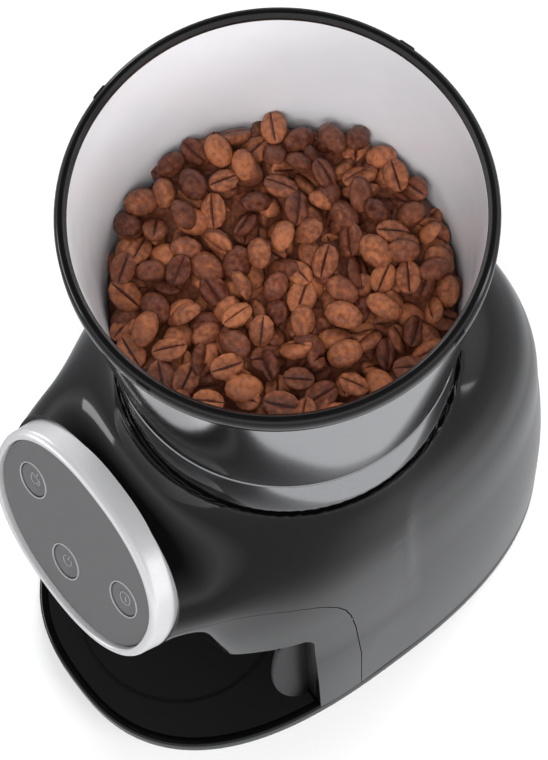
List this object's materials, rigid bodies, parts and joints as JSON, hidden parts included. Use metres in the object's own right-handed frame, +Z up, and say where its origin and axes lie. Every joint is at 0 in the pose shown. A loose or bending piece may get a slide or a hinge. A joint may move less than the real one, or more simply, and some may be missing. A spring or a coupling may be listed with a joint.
{
  "type": "burr coffee grinder",
  "caption": "Upright burr coffee grinder with an open bean hopper, a turning grind collar, a tilted button panel and an open cup bay.",
  "frame": {"origin": "middle of the footprint at table height, under the feet", "axes": "+Z up, the button panel and cup bay face -Y, +X to the right as seen from the front"},
  "size_m": [0.134, 0.205, 0.348],
  "materials": {
    "gloss_black": "gloss black moulded plastic",
    "satin_black": "fine satin black plastic",
    "satin_silver": "satin silver bezel",
    "grey_panel": "satin dark grey",
    "bright_steel": "polished stainless steel",
    "clear_plastic": "clear moulded hopper plastic",
    "smoke_rim": "dark smoked plastic",
    "rubber": "matt rubber",
    "steel": "machined steel",
    "zinc": "die-cast metal",
    "nylon": "natural nylon",
    "board": "green circuit board",
    "parts_grey": "grey plastic parts",
    "magnet": "sintered magnet"
  },
  "bodies": {
    "housing": {"base_skirt": "gloss_black", "base_plate": "satin_black", "base_tray": "satin_black", "rubber_feet": "rubber", "frame_posts": "parts_grey", "base_screws": "steel", "main_shell": "gloss_black", "bay_trim": "gloss_black", "bay_liner": "satin_black", "bezel": "satin_silver", "control_panel": "grey_panel", "button_rings": "satin_silver", "control_board": "board", "tact_switches": "parts_grey", "band_ring": "bright_steel", "grinding_chamber": "zinc", "discharge_chute": "satin_black", "gearbox_base": "zinc", "gearbox_cover": "zinc", "gearbox_screws": "steel", "chamber_screws": "steel", "motor_screws": "steel", "lower_bearing": "steel", "upper_bearing": "steel", "motor_can": "steel", "motor_end_cap": "parts_grey", "motor_magnet": "magnet", "motor_isolator": "rubber", "power_board": "board", "board_components": "parts_grey", "board_standoffs": "nylon", "cord_grommet": "rubber", "interlock_switch": "parts_grey"},
    "collar": {"grip_collar": "bright_steel", "adjuster_sleeve": "parts_grey"},
    "carrier": {"burr_carrier": "nylon", "ring_burr": "steel"},
    "hopper": {"hopper_cup": "clear_plastic", "hopper_rim": "smoke_rim"},
    "left_key": {"left_button": "grey_panel"},
    "right_key": {"right_button": "grey_panel"},
    "middle_key": {"middle_button": "grey_panel"},
    "motor_rotor": {"motor_shaft": "steel", "motor_pinion": "steel", "motor_armature": "steel"},
    "burr_rotor": {"burr_shaft": "steel", "drive_gear": "nylon", "cone_burr": "steel", "burr_nut": "steel", "sweeper": "nylon"}
  },
  "joints": [
    {"name": "grind_adjust", "type": "hinge", "parent": "housing", "child": "collar", "pos_m": [0, 0.0045, 0.26], "axis": [0, 0, 1], "range_deg": [-45, 45]},
    {"name": "carrier_travel", "type": "slide", "parent": "collar", "child": "carrier", "axis": [0, 0, 1], "range_m": [-0.001, 0.001]},
    {"name": "hopper_lift", "type": "slide", "parent": "collar", "child": "hopper", "axis": [0, 0, 1], "range_m": [0, 0.14]},
    {"name": "left_press", "type": "slide", "parent": "housing", "child": "left_key", "axis": [0, 0.9085, -0.4179], "range_m": [0, 0.0008], "stiffness_N_per_m": 300, "springref_m": -0.0008},
    {"name": "right_press", "type": "slide", "parent": "housing", "child": "right_key", "axis": [0, 0.9085, -0.4179], "range_m": [0, 0.0008], "stiffness_N_per_m": 300, "springref_m": -0.0008},
    {"name": "middle_press", "type": "slide", "parent": "housing", "child": "middle_key", "axis": [0, 0.9085, -0.4179], "range_m": [0, 0.0008], "stiffness_N_per_m": 300, "springref_m": -0.0008},
    {"name": "burr_spin", "type": "hinge", "parent": "housing", "child": "burr_rotor", "pos_m": [0, 0.0045, 0.13], "axis": [0, 0, 1], "continuous": true},
    {"name": "motor_spin", "type": "hinge", "parent": "housing", "child": "motor_rotor", "pos_m": [0, 0.05137, 0.13], "axis": [0, 0, 1], "continuous": true}
  ],
  "couplings": [
    {"joint": "carrier_travel", "follows": "grind_adjust", "m_per_rad": 0.00127},
    {"joint": "motor_spin", "follows": "burr_spin", "ratio": -5.25}
  ]
}
